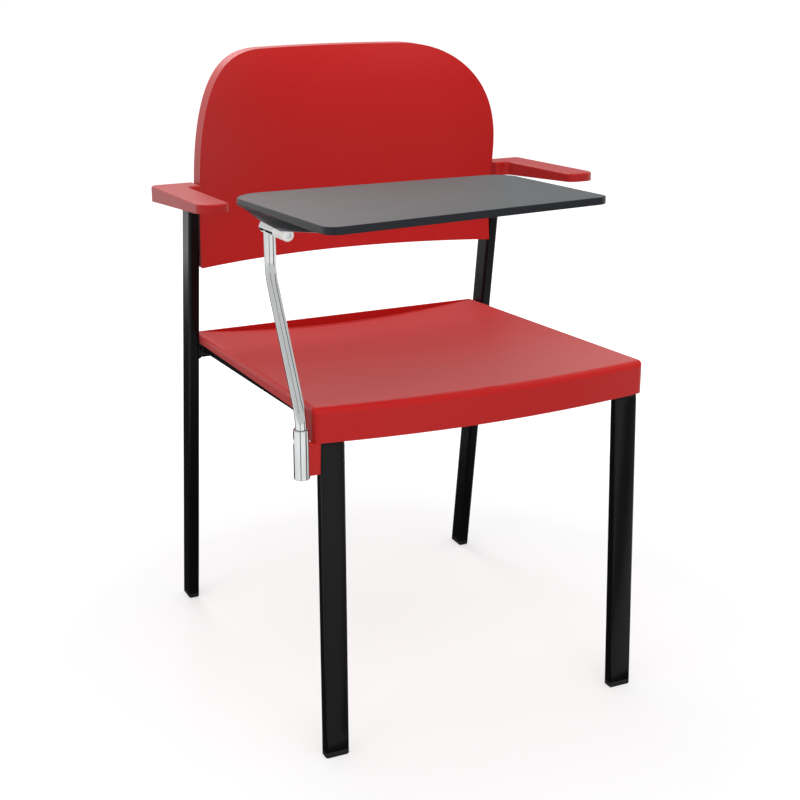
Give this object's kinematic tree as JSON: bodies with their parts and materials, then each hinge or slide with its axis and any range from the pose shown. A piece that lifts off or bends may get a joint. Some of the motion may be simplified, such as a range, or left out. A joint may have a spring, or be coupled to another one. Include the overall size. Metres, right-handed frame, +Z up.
{
  "type": "writing tablet chair",
  "caption": "Visitor chair with moulded plastic seat, bowed plastic back and short arm pads on a flat oval steel frame, with a flip-up writing tablet on a swinging bent tube.",
  "frame": {"origin": "on the floor, under the middle of the chair's box", "axes": "+X to the sitter's left, +Y to the back of the chair, +Z up; the sitter faces -Y"},
  "size_m": [0.578, 0.6491, 0.8336],
  "materials": {
    "frame_paint": "satin black powder coat",
    "red_plastic": "satin moulded plastic",
    "black_plastic": "matt",
    "bush_plastic": "natural nylon",
    "zinc_steel": "bright zinc",
    "chrome": "polished",
    "tablet_grey": "satin grey",
    "tablet_dark": "satin dark grey"
  },
  "bodies": {
    "root": {"front_leg_left": "frame_paint", "front_leg_right": "frame_paint", "rear_leg_left": "frame_paint", "rear_leg_right": "frame_paint", "side_rail_left": "frame_paint", "side_rail_right": "frame_paint", "front_cross_rail": "frame_paint", "rear_cross_rail": "frame_paint", "back_bar_lower": "frame_paint", "back_bar_upper": "frame_paint", "glide_front_left": "black_plastic", "glide_front_right": "black_plastic", "glide_rear_left": "black_plastic", "glide_rear_right": "black_plastic", "seat_shell": "red_plastic", "seat_screws": "zinc_steel", "back_shell": "red_plastic", "back_screws": "zinc_steel", "arm_pad_left": "red_plastic", "arm_pad_right": "red_plastic", "arm_plate_left": "frame_paint", "arm_plate_right": "frame_paint", "arm_screws": "zinc_steel", "socket_sleeve": "chrome", "socket_bush": "bush_plastic", "socket_end_plug": "black_plastic", "socket_bolts": "zinc_steel", "socket_spacer": "red_plastic"},
    "writing_arm": {"arm_tube": "chrome", "arm_tube_plug": "black_plastic", "limit_pin": "zinc_steel", "hinge_barrel": "chrome", "barrel_cap": "chrome", "hinge_bushes": "bush_plastic", "hinge_stop": "chrome"},
    "tablet": {"hinge_knuckle": "bush_plastic", "hinge_axle": "zinc_steel", "axle_clip": "zinc_steel", "hinge_housing": "tablet_dark", "tablet_board": "tablet_grey", "tablet_edge": "tablet_dark", "tablet_screws": "zinc_steel"}
  },
  "joints": [
    {"name": "arm_swing", "type": "hinge", "parent": "root", "child": "writing_arm", "pos_m": [-0.2445, -0.20352, 0.41], "axis": [0, 0, -1], "range_deg": [-25, 85]},
    {"name": "tablet_flip", "type": "hinge", "parent": "writing_arm", "child": "tablet", "pos_m": [-0.2445, -0.11502, 0.6627], "axis": [0, -0.999, 0.045], "range_deg": [0, 90]}
  ]
}
